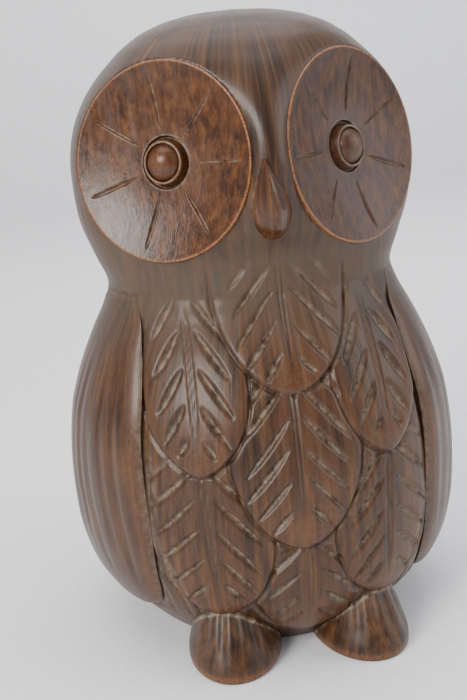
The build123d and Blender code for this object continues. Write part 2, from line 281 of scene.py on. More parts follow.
def plan_cuts(middle, tip, length, wide, roundness, top, lean, first, step, count, steep):
    """The gouge cuts of one feather, each as start, end and width."""
    cuts = []
    for row in range(count):
        for side in (-1, 1):
            high = tip + first + step * row + rng.uniform(-0.8, 0.8)
            reach = feather_edge(high - 9, tip, length, wide, roundness)[0]
            run = max(reach * 0.86 - 3.2, 4.0) * rng.uniform(0.92, 1.04) / max(steep, 1) ** 0.5
            start = (middle + lean * (high - tip) + side * rng.uniform(2.4, 3.4), high)
            end = (start[0] + side * run, high - run * steep * rng.uniform(0.95, 1.1))
            cuts.append((start, end, CUT_WIDTH * rng.uniform(0.85, 1.1)))
    return cuts


planned = [plan_cuts(*feather) for feather in feathers]
print("gouge cuts:", sum(len(cuts) for cuts in planned))

# %% Feather relief
def feather_cuts(x, z, feather, cuts):
    """Gouge cuts and midrib of one feather: the depth at each point."""
    middle, tip, _, _, _, top, lean = feather[:7]
    depth = np.zeros_like(x)
    for start, end, width in cuts:
        depth = np.maximum(depth, stroke(x, z, start, end, width, CUT_DEPTH, 0.45))
    spine = middle + lean * (z - tip)
    narrow = step_up((z - tip - 5) / 24) * step_up((top - 6 - z) / 10)
    for offset in (-0.9, 0.9):
        rib = np.clip(1 - np.abs(x - spine - offset * narrow) / 0.75, 0, 1) * narrow * 0.9
        depth = np.maximum(depth, rib)
    return depth


def feather_relief(x, z):
    """Height of the carving above the plain body, and how much wax lies there (arrays, mm)."""
    height = np.zeros_like(x)
    wax = np.zeros_like(x)
    for feather, cuts in zip(feathers, planned):
        middle, tip, length, wide, roundness, top, lean = feather[:7]
        edge, slope = feather_edge(z, tip, length, wide, roundness)
        inward = (edge - np.abs(x - middle - lean * (z - tip))) / np.sqrt(1 + slope**2)
        inward = np.where(z > tip, inward, -np.hypot(x - middle, z - tip))
        fade = step_up((top - z) / 24)
        inside = step_up(inward / 0.9) * step_up((top - z) / 14)
        depth = feather_cuts(x, z, feather, cuts)
        lift = 0.3 + 1.9 * (1 - np.clip((z - tip) / (top - tip) * 1.25, 0, 1))
        lift -= 0.8 * np.exp(-np.clip(inward, 0, None) / 2.0)
        height = height * (1 - inside) + (lift - depth) * inside
        wax = wax * (1 - inside) + 0.75 * np.clip((depth - 0.5) / 1.2, 0, 1) * inside
        crease = np.exp(-(((inward + 0.6) / 0.65) ** 2)) * fade
        height -= 1.3 * crease
        wax = np.maximum(wax * (1 - crease), 0.22 * np.exp(-(((inward + 1.5) / 0.5) ** 2)) * fade)
    return height, wax

# %% [markdown]
# ## Body
# The body is spun like a turned barrel.  Its points are then crowded towards the breast, where
# the carving needs them, and moved out or in by the height of the feathers.  Under each wing the
# body steps in, so that the wing sits in a bed, and a V-cut runs beside the wing's front edge.

# %% Wing outline
wing_front = np.array([
    (18, -34), (20, -42), (24, -49), (31, -55), (44, -59), (65, -60.4), (91, -58), (119, -51),
    (138, -41.5), (149, -35.5), (157, -30),
])
wing_back = np.array([
    (18, -26), (20, -14), (24, -1), (31, 15), (44, 33), (65, 46), (91, 51.5), (119, 47), (138, 33),
    (149, 15), (157, -8),
])
WING_FOOT, WING_TOP = 18.0, 157.0


def wing_edges(z):
    """Front and back edge (y) of a wing at a height, in mm."""
    front = smooth_curve(wing_front[:, 0], wing_front[:, 1], z)
    back = smooth_curve(wing_back[:, 0], wing_back[:, 1], z)
    return front, back


def wing_inward(y, z):
    """Distance inside a wing's outline in its side view, in mm; negative outside."""
    front, back = wing_edges(np.clip(z, WING_FOOT, WING_TOP))
    side = np.minimum(y - front, back - y)
    ends = np.minimum(z - WING_FOOT, WING_TOP - z)
    return np.minimum(side, ends * 1.5)


# %% Spun walls
def barrel_profile(low, high, rows):
    """Profile with radius 1 on the wall, closed by a flat disc at each end."""
    levels = np.linspace(low, high, rows)
    rim = [0.0, 0.5, 0.85, 0.97]
    profile = [(r, low) for r in rim] + [(1.0, z) for z in levels] + [(r, high) for r in rim[::-1]]
    return profile


def wrap_on_sections(mesh, section, crowd):
    """Give a unit barrel its real sections; crowd > 0 moves its points towards the front."""
    points = points_of(mesh)
    share = np.hypot(points[:, 0], points[:, 1])
    angle = np.arctan2(points[:, 0], -points[:, 1])
    angle = angle - crowd * np.sin(angle)
    wide, deep = section(points[:, 2])
    points[:, 0] = share * wide * np.sin(angle)
    points[:, 1] = -share * deep * np.cos(angle)
    set_points(mesh, points)
    return share


NECK_FADE = (174, 160)  # heights between which the carving runs out on the neck


def wall_normals(mesh, wall):
    """Outward directions, level where the wall meets the flat ends of a spun piece."""
    normals = normals_of(mesh)
    height = points_of(mesh)[:, 2]
    ends = wall & ((height < height.min() + 1e-6) | (height > height.max() - 1e-6))
    normals[ends, 2] = 0
    return normals / np.linalg.norm(normals, axis=1)[:, None]


def brush_down(mesh, radius, top):
    """Brush marks that run down from the crown: round the piece, then along its outline."""
    points = points_of(mesh)
    angle = np.arctan2(points[:, 0], -points[:, 1])
    out = np.hypot(points[:, 0], points[:, 1])
    run = np.clip(radius - out, 0, None) + (top - points[:, 2])
    return np.stack((np.sin(angle) * radius, -np.cos(angle) * radius, run), axis=1)


def carve_front(mesh, wall):
    """Push the feathers into the front of a spun piece; returns height and wax per point."""
    x, y, z = (points_of(mesh) / MM).T
    relief, wax = feather_relief(x, z)
    front = (y < 0) & wall
    breast = step_up((-y - 20) / 14) * front
    breast *= step_up((NECK_FADE[0] - z) / (NECK_FADE[0] - NECK_FADE[1]))
    return relief * breast, wax * breast


# %% Body
BED_DEPTH = 6.8
UNDER_WIDTH = 1.9
UNDER_DEPTH = 1.0
body_mesh = spun(
    barrel_profile(0.0, joint_height, 190),
    440,
    "torso_carved",
)
wall = wrap_on_sections(body_mesh, body_section, 0.62) > 0.999
points = points_of(body_mesh)
normals = wall_normals(body_mesh, wall)
keep_brush(body_mesh, brush_down(body_mesh, half_width, joint_height))
x, y, z = (points / MM).T
relief, wax = carve_front(body_mesh, wall)
worn = 0.25 * np.clip((relief - 0.9) / 1.2, 0, 1)
front = (y < 0) & wall
# long cuts of the under-feathers that show beside the wings
under_feathers = [
    ((-60, 68), (-45, 17)), ((-57, 58), (-40, 19)), ((-61.5, 52), (-51, 16)), ((-59.5, 104), (-60, 66)),
    ((-57.5, 98), (-58, 70)),
]
for side in (-1, 1):
    for start, end in under_feathers:
        cut = stroke(x * -side, z, start, end, UNDER_WIDTH, UNDER_DEPTH, 0.4) * front
        relief -= cut
        wax = np.maximum(wax, 0.55 * np.clip(cut / 0.9, 0, 1))
# the V beside each wing, deepest high up, and the bed under the wing
inward = wing_inward(y, z)
groove = np.exp(-((inward + 0.6) / 2.2) ** 2) * (y < -15) * wall
groove *= step_up((153 - z) / 12)
relief -= groove * (1.2 + 1.6 * step_up((z - 75) / 40))
wax = np.maximum(wax * (1 - groove), np.exp(-((inward + 1.6) / 0.45) ** 2) * (y < -15) * groove * 0.6)
bed = step_up((inward - 2.2) / 1.4) * (np.abs(x) > 20) * wall
relief -= BED_DEPTH * bed
points += normals * (relief * MM)[:, None]
set_points(body_mesh, points)
keep_number(body_mesh, "wax", wax)
keep_number(body_mesh, "worn", worn)
add_piece("torso_carved", body_mesh, "carved_wood", "torso")

# %% [markdown]
# ## Wings
# A wing is a curved shell.  A flat grid is bent onto the body's outline, pulled into the leaf
# shape of the wing, raised a little, scored with shallow flutes, and given its thickness by
# solidify.  The flutes are placed by the seeded numbers, so the two wings differ a little.

# %% Wings
WING_THICK = 7.0
FLUTE_COUNT = 12
BRUSH_WIDTH = 95.0  # width, in mm, that a wing's brush marks are spread over


def wing_surface(y, z, rise):
    """Outer face of the +X wing at a place of its side view, in mm."""
    wide, deep = body_section(z * MM)
    swell = rise * np.minimum(1, 3 * (1 - z / (joint_height / MM)))
    wide = wide / MM + swell
    deep = deep / MM
    return wide * np.sqrt(np.clip(1 - (y / deep) ** 2, 0, 1))


def crowd_ends(u):
    """-1 to 1 becomes 0 to 1, with the steps closer together near both ends."""
    return 0.5 + 0.35 * np.sin(u * pi / 2) + 0.15 * u


def make_wing(side, name, node):
    bm = bmesh.new()
    columns, rows = ((120, 150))
    bmesh.ops.create_grid(bm, x_segments=columns, y_segments=rows, size=1)
    mesh = bpy.data.meshes.new("wing_grid")
    bm.to_mesh(mesh)
    points = points_of(mesh)
    u, v = points[:, 0], points[:, 1]
    z = WING_FOOT + (WING_TOP - WING_FOOT) * crowd_ends(v)
    front, back = wing_edges(z)
    y = front + (back - front) * crowd_ends(u)
    inward = np.clip(wing_inward(y, z), 0, None)
    round_over = 3.6 * (1 - np.sqrt(np.clip(1 - (1 - np.clip(inward / 5.5, 0, 1)) ** 2, 0, 1)))
    round_over *= np.where(z > 130, 1 - step_up((z - 130) / 24), 1)
    x = wing_surface(y, z, wing_rise / MM) - round_over
    length_share = np.clip((z - WING_FOOT) / (WING_TOP - WING_FOOT), 0, 1)
    for line in range(FLUTE_COUNT):
        share = (line + 0.5 + rng.uniform(-0.2, 0.2)) / FLUTE_COUNT
        low, high = rng.uniform(0.03, 0.2), rng.uniform(0.7, 0.97)
        centre = front + (back - front) * (share + 0.05 * np.sin(pi * length_share))
        reach = step_up((length_share - low) / 0.2) * step_up((high - length_share) / 0.3)
        x -= np.exp(-((y - centre) / rng.uniform(1.6, 2.8)) ** 2) * reach * rng.uniform(0.4, 1.0)
    worn = 0.2 * np.exp(-((inward - 1.6) / 1.4) ** 2)
    wax = 0.3 * np.exp(-(inward / 0.6) ** 2) * (y < 0) * step_up((150 - z) / 10)
    points = np.stack((x * side, y, z), axis=1) * MM
    set_points(mesh, points)
    keep_number(mesh, "wax", wax)
    keep_number(mesh, "worn", worn)
    across = (y - front) / np.maximum(back - front, 1) * BRUSH_WIDTH
    keep_brush(mesh, np.stack((across * MM, 0 * z, z * MM), axis=1))
    bm.clear()
    bm.from_mesh(mesh)
    bpy.data.meshes.remove(mesh)
    outward = sum((f.normal.x for f in bm.faces)) * side
    if outward < 0:
        bmesh.ops.reverse_faces(bm, faces=bm.faces)
    bmesh.ops.solidify(bm, geom=bm.faces, thickness=WING_THICK * MM)
    add_piece(name, finish_mesh(bm, name), "carved_wood", node)


make_wing(1, "wing_left_carved", "left_wing")
make_wing(-1, "wing_right_carved", "right_wing")

# %% [markdown]
# ## Head
# The head is spun in the same way.  The two discs look outwards and a little upwards, and the
# wood between them is worked down to the same two slanting faces, which meet in a rounded bridge
# above the beak.  A point that stands in front of such a face is pushed back to it, and inside a
# disc's circle it goes back as far as the bottom of the disc's seat.  The tops of the highest
# feathers run up over the neck joint, so the same carving is cut into the head.

# %% Face planes
DISC_RADIUS = 40.0
DISC_THICK = 8.0
DISC_DISH = 4.4
disc_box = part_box("left_face_disc")
yaw, tilt = radians(35.5), radians(7.4)
disc_normal = np.array((sin(yaw) * cos(tilt), -cos(yaw) * cos(tilt), sin(tilt)))
disc_across = np.array((cos(yaw), sin(yaw), 0.0))
disc_up = np.cross(disc_normal, disc_across)
disc_middle = (np.array(disc_box[0]) + np.array(disc_box[1])) / 2 / MM
disc_centre = disc_middle + disc_normal * DISC_THICK / 2
print("disc centre", disc_centre.round(2))


def disc_place(points, side):
    """Radius from a disc's axis, and height above its rim plane, in mm."""
    local = points / MM * np.array((side, 1, 1)) - disc_centre
    height = local @ disc_normal
    radius = np.sqrt(np.maximum((local**2).sum(axis=1) - height**2, 0))
    return radius, height


def rim_excess():
    """How far the plain head stands in front of a disc's rim, for each degree round the disc."""
    turns = np.radians(np.arange(361.0))
    circle = np.outer(np.cos(turns), disc_across) + np.outer(np.sin(turns), disc_up)
    ring = disc_centre + DISC_RADIUS * circle
    low, high = np.full(361, -25.0), np.full(361, 25.0)
    for _ in range(24):
        middle = (low + high) / 2
        x, y, z = (ring + middle[:, None] * disc_normal).T
        wide, deep = head_section(z * MM)
        inside = (x / wide) ** 2 + (y / deep) ** 2 < MM**-2
        low, high = np.where(inside, middle, low), np.where(inside, high, middle)
    return low


# %% Head
excess_at_rim = rim_excess()
BLEND = 17.0  # width of the rounded band round a disc, and how much wider it is on the forehead
BLEND_MORE = 19.0
head_mesh = spun(
    barrel_profile(joint_height, head_high[2], 150),
    400,
    "head_carved",
)
wall = wrap_on_sections(head_mesh, head_section, 0.45) > 0.999
points = points_of(head_mesh)
for side in (1, -1):
    radius, height = disc_place(points, side)
    local = points / MM * np.array((side, 1, 1)) - disc_centre
    turn = np.degrees(np.arctan2(local @ disc_up, local @ disc_across)) % 360
    facing = wall & (points[:, 1] < 0)
    own_half = step_up((points[:, 0] * side / MM + 30) / 30)
    low_half = step_up((212 - points[:, 2] / MM) / 26)
    blend = BLEND + BLEND_MORE * np.exp(-(((turn - 125) / 38) ** 2))
    beyond = np.clip((radius - DISC_RADIUS) / blend, 0, 1)
    excess = np.interp(turn, np.arange(361), excess_at_rim)
    push = np.clip(excess + 0.3 + 1.4 * low_half, 0, None) * (1 - beyond) ** 2
    push = np.where(radius < DISC_RADIUS, np.maximum(height + 0.9 + low_half, push), push)
    push *= facing * own_half * step_up((points[:, 2] - joint_height) / MM / 14)
    seat = facing & (points[:, 0] * side > 0) & (radius < DISC_RADIUS - 1.6) & (height > -DISC_THICK)
    push = np.where(seat, height + DISC_THICK, push)
    direction = disc_normal * np.array((side, 1, 1))
    points -= push[:, None] * direction[None, :] * MM
set_points(head_mesh, points)
relief, wax = carve_front(head_mesh, wall)
points += wall_normals(head_mesh, wall) * (relief * MM)[:, None]
set_points(head_mesh, points)
keep_brush(head_mesh, brush_down(head_mesh, head_half_width, head_high[2]))
keep_number(head_mesh, "wax", wax)
keep_number(head_mesh, "worn", np.zeros(len(points)))
add_piece("head_carved", head_mesh, "carved_wood", "head")

# %% [markdown]
# ## Face discs
# A disc is turned on a lathe: a thin rim, then a shallow dish down to the eye.  Seven long cuts
# run out from the eye like rays, deepest in the middle of their length.

# %% Face discs
RAY_COUNT = 7
RAY_WIDTH = 1.9
RAY_DEPTH = 1.3
EYE_HOLE = 10.75


def stand_on_face(mesh, side):
    """Move a piece that was turned round Z to its place on the owl's face."""
    points = points_of(mesh) / MM
    placed = disc_centre + points @ np.array((disc_across, disc_up, disc_normal))
    placed[:, 0] *= side
    set_points(mesh, placed * MM)
    if side < 0:
        mesh.flip_normals()


def make_disc(side, name, node):
    fine = 62
    dish = []
    for share in np.linspace(0, 1, fine):
        radius = EYE_HOLE + (DISC_RADIUS - 0.6 - EYE_HOLE) * share
        dish.append((radius, -DISC_DISH * (1 - share**1.9)))
    rim = [(39.75, -0.05), (39.95, -0.28), (40.0, -0.7), (40.0, -3.0), (40.0, -7.9)]
    back = [(39.6, -DISC_THICK), (EYE_HOLE, -DISC_THICK), (EYE_HOLE, -6.0), (EYE_HOLE, -DISC_DISH)]
    profile = [(r * MM, h * MM) for r, h in dish + rim + back]
    mesh = spun(profile, 500, name)
    points = points_of(mesh)
    x, y, h = (points / MM).T
    face = h > -DISC_DISH - 0.3
    cuts = np.zeros_like(x)
    first = 10.6
    for ray in range(RAY_COUNT):
        turn = radians(90 - first - ray * 360 / RAY_COUNT + rng.uniform(-3, 3))
        inner, outer = rng.uniform(14, 16.5), rng.uniform(35, 37.2)
        start = (inner * cos(turn), inner * sin(turn))
        end = (outer * cos(turn), outer * sin(turn))
        cuts = np.maximum(cuts, stroke(x, y, start, end, RAY_WIDTH, RAY_DEPTH, 0.35))
    cuts *= face
    points[:, 2] -= cuts * MM
    set_points(mesh, points)
    radius = np.hypot(x, y)
    socket = 0.7 * np.exp(-(((radius - 10.9) / 0.35) ** 2)) * face
    keep_number(mesh, "wax", np.maximum(0.6 * np.clip((cuts - 0.2) / 0.8, 0, 1), socket))
    keep_number(mesh, "worn", 1.6 * np.exp(-((radius - 39.7) / 0.45) ** 2) * face)
    stand_on_face(mesh, side)
    add_piece(name, mesh, "turned_wood", node)


make_disc(1, "disc_left_turned", "left_face_disc")
make_disc(-1, "disc_right_turned", "right_face_disc")

# %% [markdown]
# ## Eyes
# Each eye is a ring with a raised collar, and a round bead inside it.  Wax lies in the channel
# outside the collar, along the collar's crest, and round the foot of the bead.

# %% Eye rings and beads
def arc_points(centre, radius, from_angle, to_angle, count):
    """Points on a round stretch of a profile, angles in degrees."""
    angles = np.radians(np.linspace(from_angle, to_angle, count))
    return [(centre[0] + radius * cos(a), centre[1] + radius * sin(a)) for a in angles]


def make_eye(side, word):
    ring = [(7.42, -7.95), (10.6, -7.95), (10.6, -5.4)]
    ring += arc_points((9.95, -5.35), 0.62, 0, -170, 7)[1:-1]
    ring += [(9.1, -4.6), (8.95, -3.2), (8.85, -2.1)]
    ring += arc_points((8.15, -2.0), 0.68, 0, 180, 10)
    ring += [(7.42, -2.6), (7.42, -4.0), (7.42, -7.95)]
    ring_mesh = spun([(r * MM, h * MM) for r, h in ring], 128, "eye_ring_" + word)
    x, y, h = (points_of(ring_mesh) / MM).T
    radius = np.hypot(x, y)
    socket_line = step_up((radius - 9.9) / 0.4) * step_up((h + 5.6) / 0.4)
    collar_line = np.exp(-((radius - 8.1) / 0.28) ** 2) * step_up((h + 1.9) / 0.3)
    keep_number(ring_mesh, "wax", np.maximum(socket_line, 0.8 * collar_line))
    keep_number(ring_mesh, "worn", 0.3 * np.exp(-((h + 1.4) / 0.35) ** 2))
    stand_on_face(ring_mesh, side)
    add_piece(f"eye_ring_{word}_turned", ring_mesh, "turned_wood", f"{word}_eye_ring")

    dome_foot, dome_rise, bead_radius = -2.35, 4.75, 7.3
    ball = (bead_radius**2 + dome_rise**2) / (2 * dome_rise)
    rim_angle = np.degrees(np.arcsin((ball - dome_rise) / ball))
    bead = [(0, -16), (3, -16), (3, -8), (7.0, -8), (7.3, -7.7), (7.3, -5.0)]
    bead += arc_points((0, dome_foot + dome_rise - ball), ball, rim_angle, 90, 18)
    bead_mesh = spun([(abs(r) * MM, h * MM) for r, h in bead], 96, "bead_" + word)
    x, y, h = (points_of(bead_mesh) / MM).T
    keep_number(bead_mesh, "wax", step_up((dome_foot + 0.35 - h) / 0.5))
    keep_number(bead_mesh, "worn", 0.3 * step_up((h - 1.2) / 1.4))
    stand_on_face(bead_mesh, side)
    add_piece(f"eye_bead_{word}_turned", bead_mesh, "turned_wood", f"{word}_eye_bead")


make_eye(1, "left")
make_eye(-1, "right")

# %% [markdown]
# ## Beak
# The beak is a drop-shaped block with flat cheeks, cut with a knife: a narrow middle facet runs
# down from the bridge and widens, with a slanting cheek on each side.

# %% Beak
beak_low, beak_high = (np.array(c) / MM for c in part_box("beak"))


def make_beak():
    bm = bmesh.new()
    bmesh.ops.create_grid(bm, x_segments=64, y_segments=90, size=1)
    mesh = bpy.data.meshes.new("beak_grid")
    bm.to_mesh(mesh)
    points = points_of(mesh)
    u, v = points[:, 0].copy(), points[:, 1].copy()
    tall = beak_high[2] - beak_low[2]
    share = 0.5 + 0.5 * np.sin(v * pi / 2)
    z = beak_low[2] + tall * share
    wide = (beak_high[0] - 0.3) * smooth_curve(
        [0, 0.03, 0.10, 0.22, 0.36, 0.55, 0.75, 0.92, 1.0],
        [0, 0.40, 0.72, 0.95, 1.0, 0.84, 0.54, 0.24, 0.08], share,
    )
    x = u * wide
    _, deep = head_section(z * MM)
    seat = deep / MM - 3.0 - 1.5 * share
    ridge = smooth_curve(
        [0, 0.04, 0.12, 0.30, 0.55, 0.8, 1.0], [60.0, 65.0, 69.0, 72.6, 73.4, 72.4, 69.8], share
    )
    flat = 0.30 - 0.16 * share
    lean = np.clip((np.abs(u) - flat) / (1 - flat), 0, 1)
    fall = np.where(np.abs(u) < flat, 0.10 * np.abs(u) / flat, 0.10 + 0.72 * lean + 0.18 * lean**3)
    y = -(ridge - (ridge - seat) * fall)
    x -= 3.2 * share**1.5  # the carver's beak leans a little
    points = np.stack((x, y, z), axis=1) * MM
    set_points(mesh, points)
    keep_number(mesh, "wax", 0.45 * np.exp(-((1 - np.abs(u)) / 0.07) ** 2))
    edge_line = np.exp(-((np.abs(u) - flat) / 0.06) ** 2)
    keep_number(mesh, "worn", 0.3 * edge_line)
    bm.clear()
    bm.from_mesh(mesh)
    bpy.data.meshes.remove(mesh)
    bmesh.ops.remove_doubles(bm, verts=bm.verts, dist=0.02 * MM)
    bmesh.ops.recalc_face_normals(bm, faces=bm.faces)
    if sum(f.normal.y for f in bm.faces) > 0:
        bmesh.ops.reverse_faces(bm, faces=bm.faces)
    border = [e for e in bm.edges if e.is_boundary]
    walls = bmesh.ops.extrude_edge_only(bm, edges=border)["geom"]
    moved = [v for v in walls if isinstance(v, bmesh.types.BMVert)]
    for vert in moved:
        vert.co.y = max(vert.co.y + 1.0 * MM, -(beak_back * MM))
    bmesh.ops.holes_fill(bm, edges=[e for e in bm.edges if e.is_boundary], sides=0)
    add_piece("beak_carved", finish_mesh(bm, "beak_carved"), "carved_wood", "beak")


beak_back = -beak_high[1]
make_beak()

# %% [markdown]
# ## Feet
# A foot is a low bell.  It is spun, stretched to an oval, leaned back under the body, and scored
# with four soft upright grooves.  A line of wax follows the joint with the body.

# %% Feet
FOOT_HALF_WIDTH = 20.4
FOOT_HALF_LENGTH = 28.7
FOOT_TURN_OUT = radians(10)
FOOT_MIDDLE = (28.05, -56.8)
FOOT_LEVELS = [0, 0.03, 0.08, 0.35, 0.75, 1.0]


def make_foot(side, name, node):
    low, high = (np.array(c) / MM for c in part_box(node))
    rows = 60
    heights = np.linspace(0, 1, rows)
    profile = [(0, 0), (0.5, 0), (0.85, 0)] + [(1.0, h) for h in heights] + [(0.6, 1), (0, 1)]
    mesh = spun(profile, 260, name)
    points = points_of(mesh)
    share_in = np.hypot(points[:, 0], points[:, 1])
    angle = np.arctan2(points[:, 0], -points[:, 1])
    level = points[:, 2]
    wide = FOOT_HALF_WIDTH * smooth_curve(FOOT_LEVELS, [0.955, 0.99, 1.0, 0.90, 0.70, 0.62], level)
    deep = FOOT_HALF_LENGTH * smooth_curve(FOOT_LEVELS, [0.965, 0.995, 1.0, 0.935, 0.76, 0.62], level)
    back = 6.0 * level**1.3
    grooves = np.zeros_like(level)
    for turn in (-34, -9, 17, 46):
        off = np.degrees(angle) - turn * (1 - 0.15 * level)
        grooves = np.maximum(grooves, np.exp(-((off / 7) ** 2)))
    grooves *= step_up((level - 0.05) / 0.5) * (share_in > 0.999)
    scale = share_in * (1 - 0.05 * grooves)
    x = scale * wide * np.sin(angle)
    y = -scale * deep * np.cos(angle) + back
    px = FOOT_MIDDLE[0] + x * cos(FOOT_TURN_OUT) - y * sin(FOOT_TURN_OUT)
    py = FOOT_MIDDLE[1] + x * sin(FOOT_TURN_OUT) + y * cos(FOOT_TURN_OUT)
    set_points(mesh, np.stack((px * side, py, level * high[2]), axis=1) * MM)
    if side < 0:
        mesh.flip_normals()
    body_wide, body_deep = body_section(level * high[2] * MM)
    outside = (np.hypot(px / (body_wide / MM), py / (body_deep / MM)) - 1) * body_deep / MM
    joint = np.exp(-((outside - 2.0) / 0.8) ** 2) * (share_in > 0.999)
    keep_number(mesh, "wax", np.maximum(0.2 * grooves * step_up((level - 0.4) / 0.4), joint))
    # a lighter, warmer band is laid just above the foot's bottom edge, through the worn number
    keep_number(mesh, "worn", np.exp(-((level - 0.06) / 0.04) ** 2) * 0.6)
    add_piece(name, mesh, "carved_wood", node)


make_foot(1, "foot_left_carved", "left_foot")
make_foot(-1, "foot_right_carved", "right_foot")

# %% [markdown]
# ## Finishes
# The stained wood is built up in layers: long streaks of darker and lighter stain that follow the
# brush, fine pores, a thin grey haze in clouds, and a satin lacquer.  The body's finish adds a
# greyer film round the neck.  Wax is laid on top wherever the *wax* number is high, broken up by
# a fine noise so that its edge is ragged, and the stain is warmer where *worn* is high.

# %% Node helpers
def new_material(name):
    material = bpy.data.materials.new(name)
    material.use_nodes = True
    nodes, links = material.node_tree.nodes, material.node_tree.links
    return material, nodes, links, nodes["Principled BSDF"]


def add_noise(nodes, links, coordinates, stretch, scale, detail=4.0, rough=0.6):
    """Noise on the given coordinates, stretched by a mapping."""
    mapping = nodes.new("ShaderNodeMapping")
    mapping.inputs["Scale"].default_value = stretch
    noise = nodes.new("ShaderNodeTexNoise")
    noise.inputs["Scale"].default_value = scale
    noise.inputs["Detail"].default_value = detail
    noise.inputs["Roughness"].default_value = rough
    links.new(coordinates, mapping.inputs["Vector"])
    links.new(mapping.outputs["Vector"], noise.inputs["Vector"])
    return noise.outputs["Fac"]


def add_ramp(nodes, links, value, stops):
    ramp = nodes.new("ShaderNodeValToRGB")
    while len(ramp.color_ramp.elements) < len(stops):
        ramp.color_ramp.elements.new(0.5)
    for element, (position, colour) in zip(ramp.color_ramp.elements, stops):
        element.position = position
        element.color = (*colour, 1)
    links.new(value, ramp.inputs["Fac"])
    return ramp.outputs["Color"]


def add_math(nodes, links, operation, first, second):
    node = nodes.new("ShaderNodeMath")
    node.operation = operation
    for socket, value in zip(node.inputs, (first, second)):
        if isinstance(value, (int, float)):
            socket.default_value = value
        else:
            links.new(value, socket)
    return node.outputs[0]


def add_mix(nodes, links, factor, first, second, blend="MIX"):
    node = nodes.new("ShaderNodeMix")
    node.data_type = "RGBA"
    node.blend_type = blend
    for socket, value in ((node.inputs[0], factor), (node.inputs[6], first), (node.inputs[7], second)):
        if isinstance(value, (int, float)):
            socket.default_value = value
        elif isinstance(value, tuple):
            socket.default_value = (*value, 1)
        else:
            links.new(value, socket)
    return node.outputs[2]


def range_of(nodes, links, value, low, high):
    """Stretch a value so that low becomes 0 and high becomes 1."""
    node = nodes.new("ShaderNodeMapRange")
    node.inputs["From Min"].default_value = low
    node.inputs["From Max"].default_value = high
    links.new(value, node.inputs["Value"])
    return node.outputs["Result"]


# %% Stained wood
WAX = (0.31, 0.25, 0.18)
RUBBED = (0.42, 0.17, 0.065)
PORE = (0.010, 0.005, 0.003)


def multiply(nodes, links, *values):
    """The product of several values."""
    product = values[0]
    for value in values[1:]:
        product = add_math(nodes, links, "MULTIPLY", product, value)
    return product


def number_on(nodes, name):
    """A number that was stored on the points of the mesh."""
    node = nodes.new("ShaderNodeAttribute")
    node.attribute_name = name
    return node.outputs["Fac"]


FILM_START = (0.018, 0.045)  # above the neck joint: where the film begins and where it is full
FILM_END = (0.084, 0.062)  # where it ends and where it is still full
FILM_RAGGED = 0.090  # how far the noise moves its edges
FILM_STRENGTH = 0.48


def neck_film(nodes, links, place, brush):
    """How much grey film lies round the neck, ragged at both edges of the band."""
    height = nodes.new("ShaderNodeSeparateXYZ")
    links.new(place, height.inputs[0])
    ragged = add_noise(nodes, links, brush, (1, 1, 0.08), 330, 5, 0.7)
    shift = multiply(nodes, links, ragged, FILM_RAGGED)
    level = add_math(nodes, links, "ADD", height.outputs["Z"], shift)
    lower = range_of(nodes, links, level, joint_height + FILM_START[0], joint_height + FILM_START[1])
    upper = range_of(nodes, links, level, joint_height + FILM_END[0], joint_height + FILM_END[1])
    return multiply(nodes, links, lower, upper, FILM_STRENGTH)


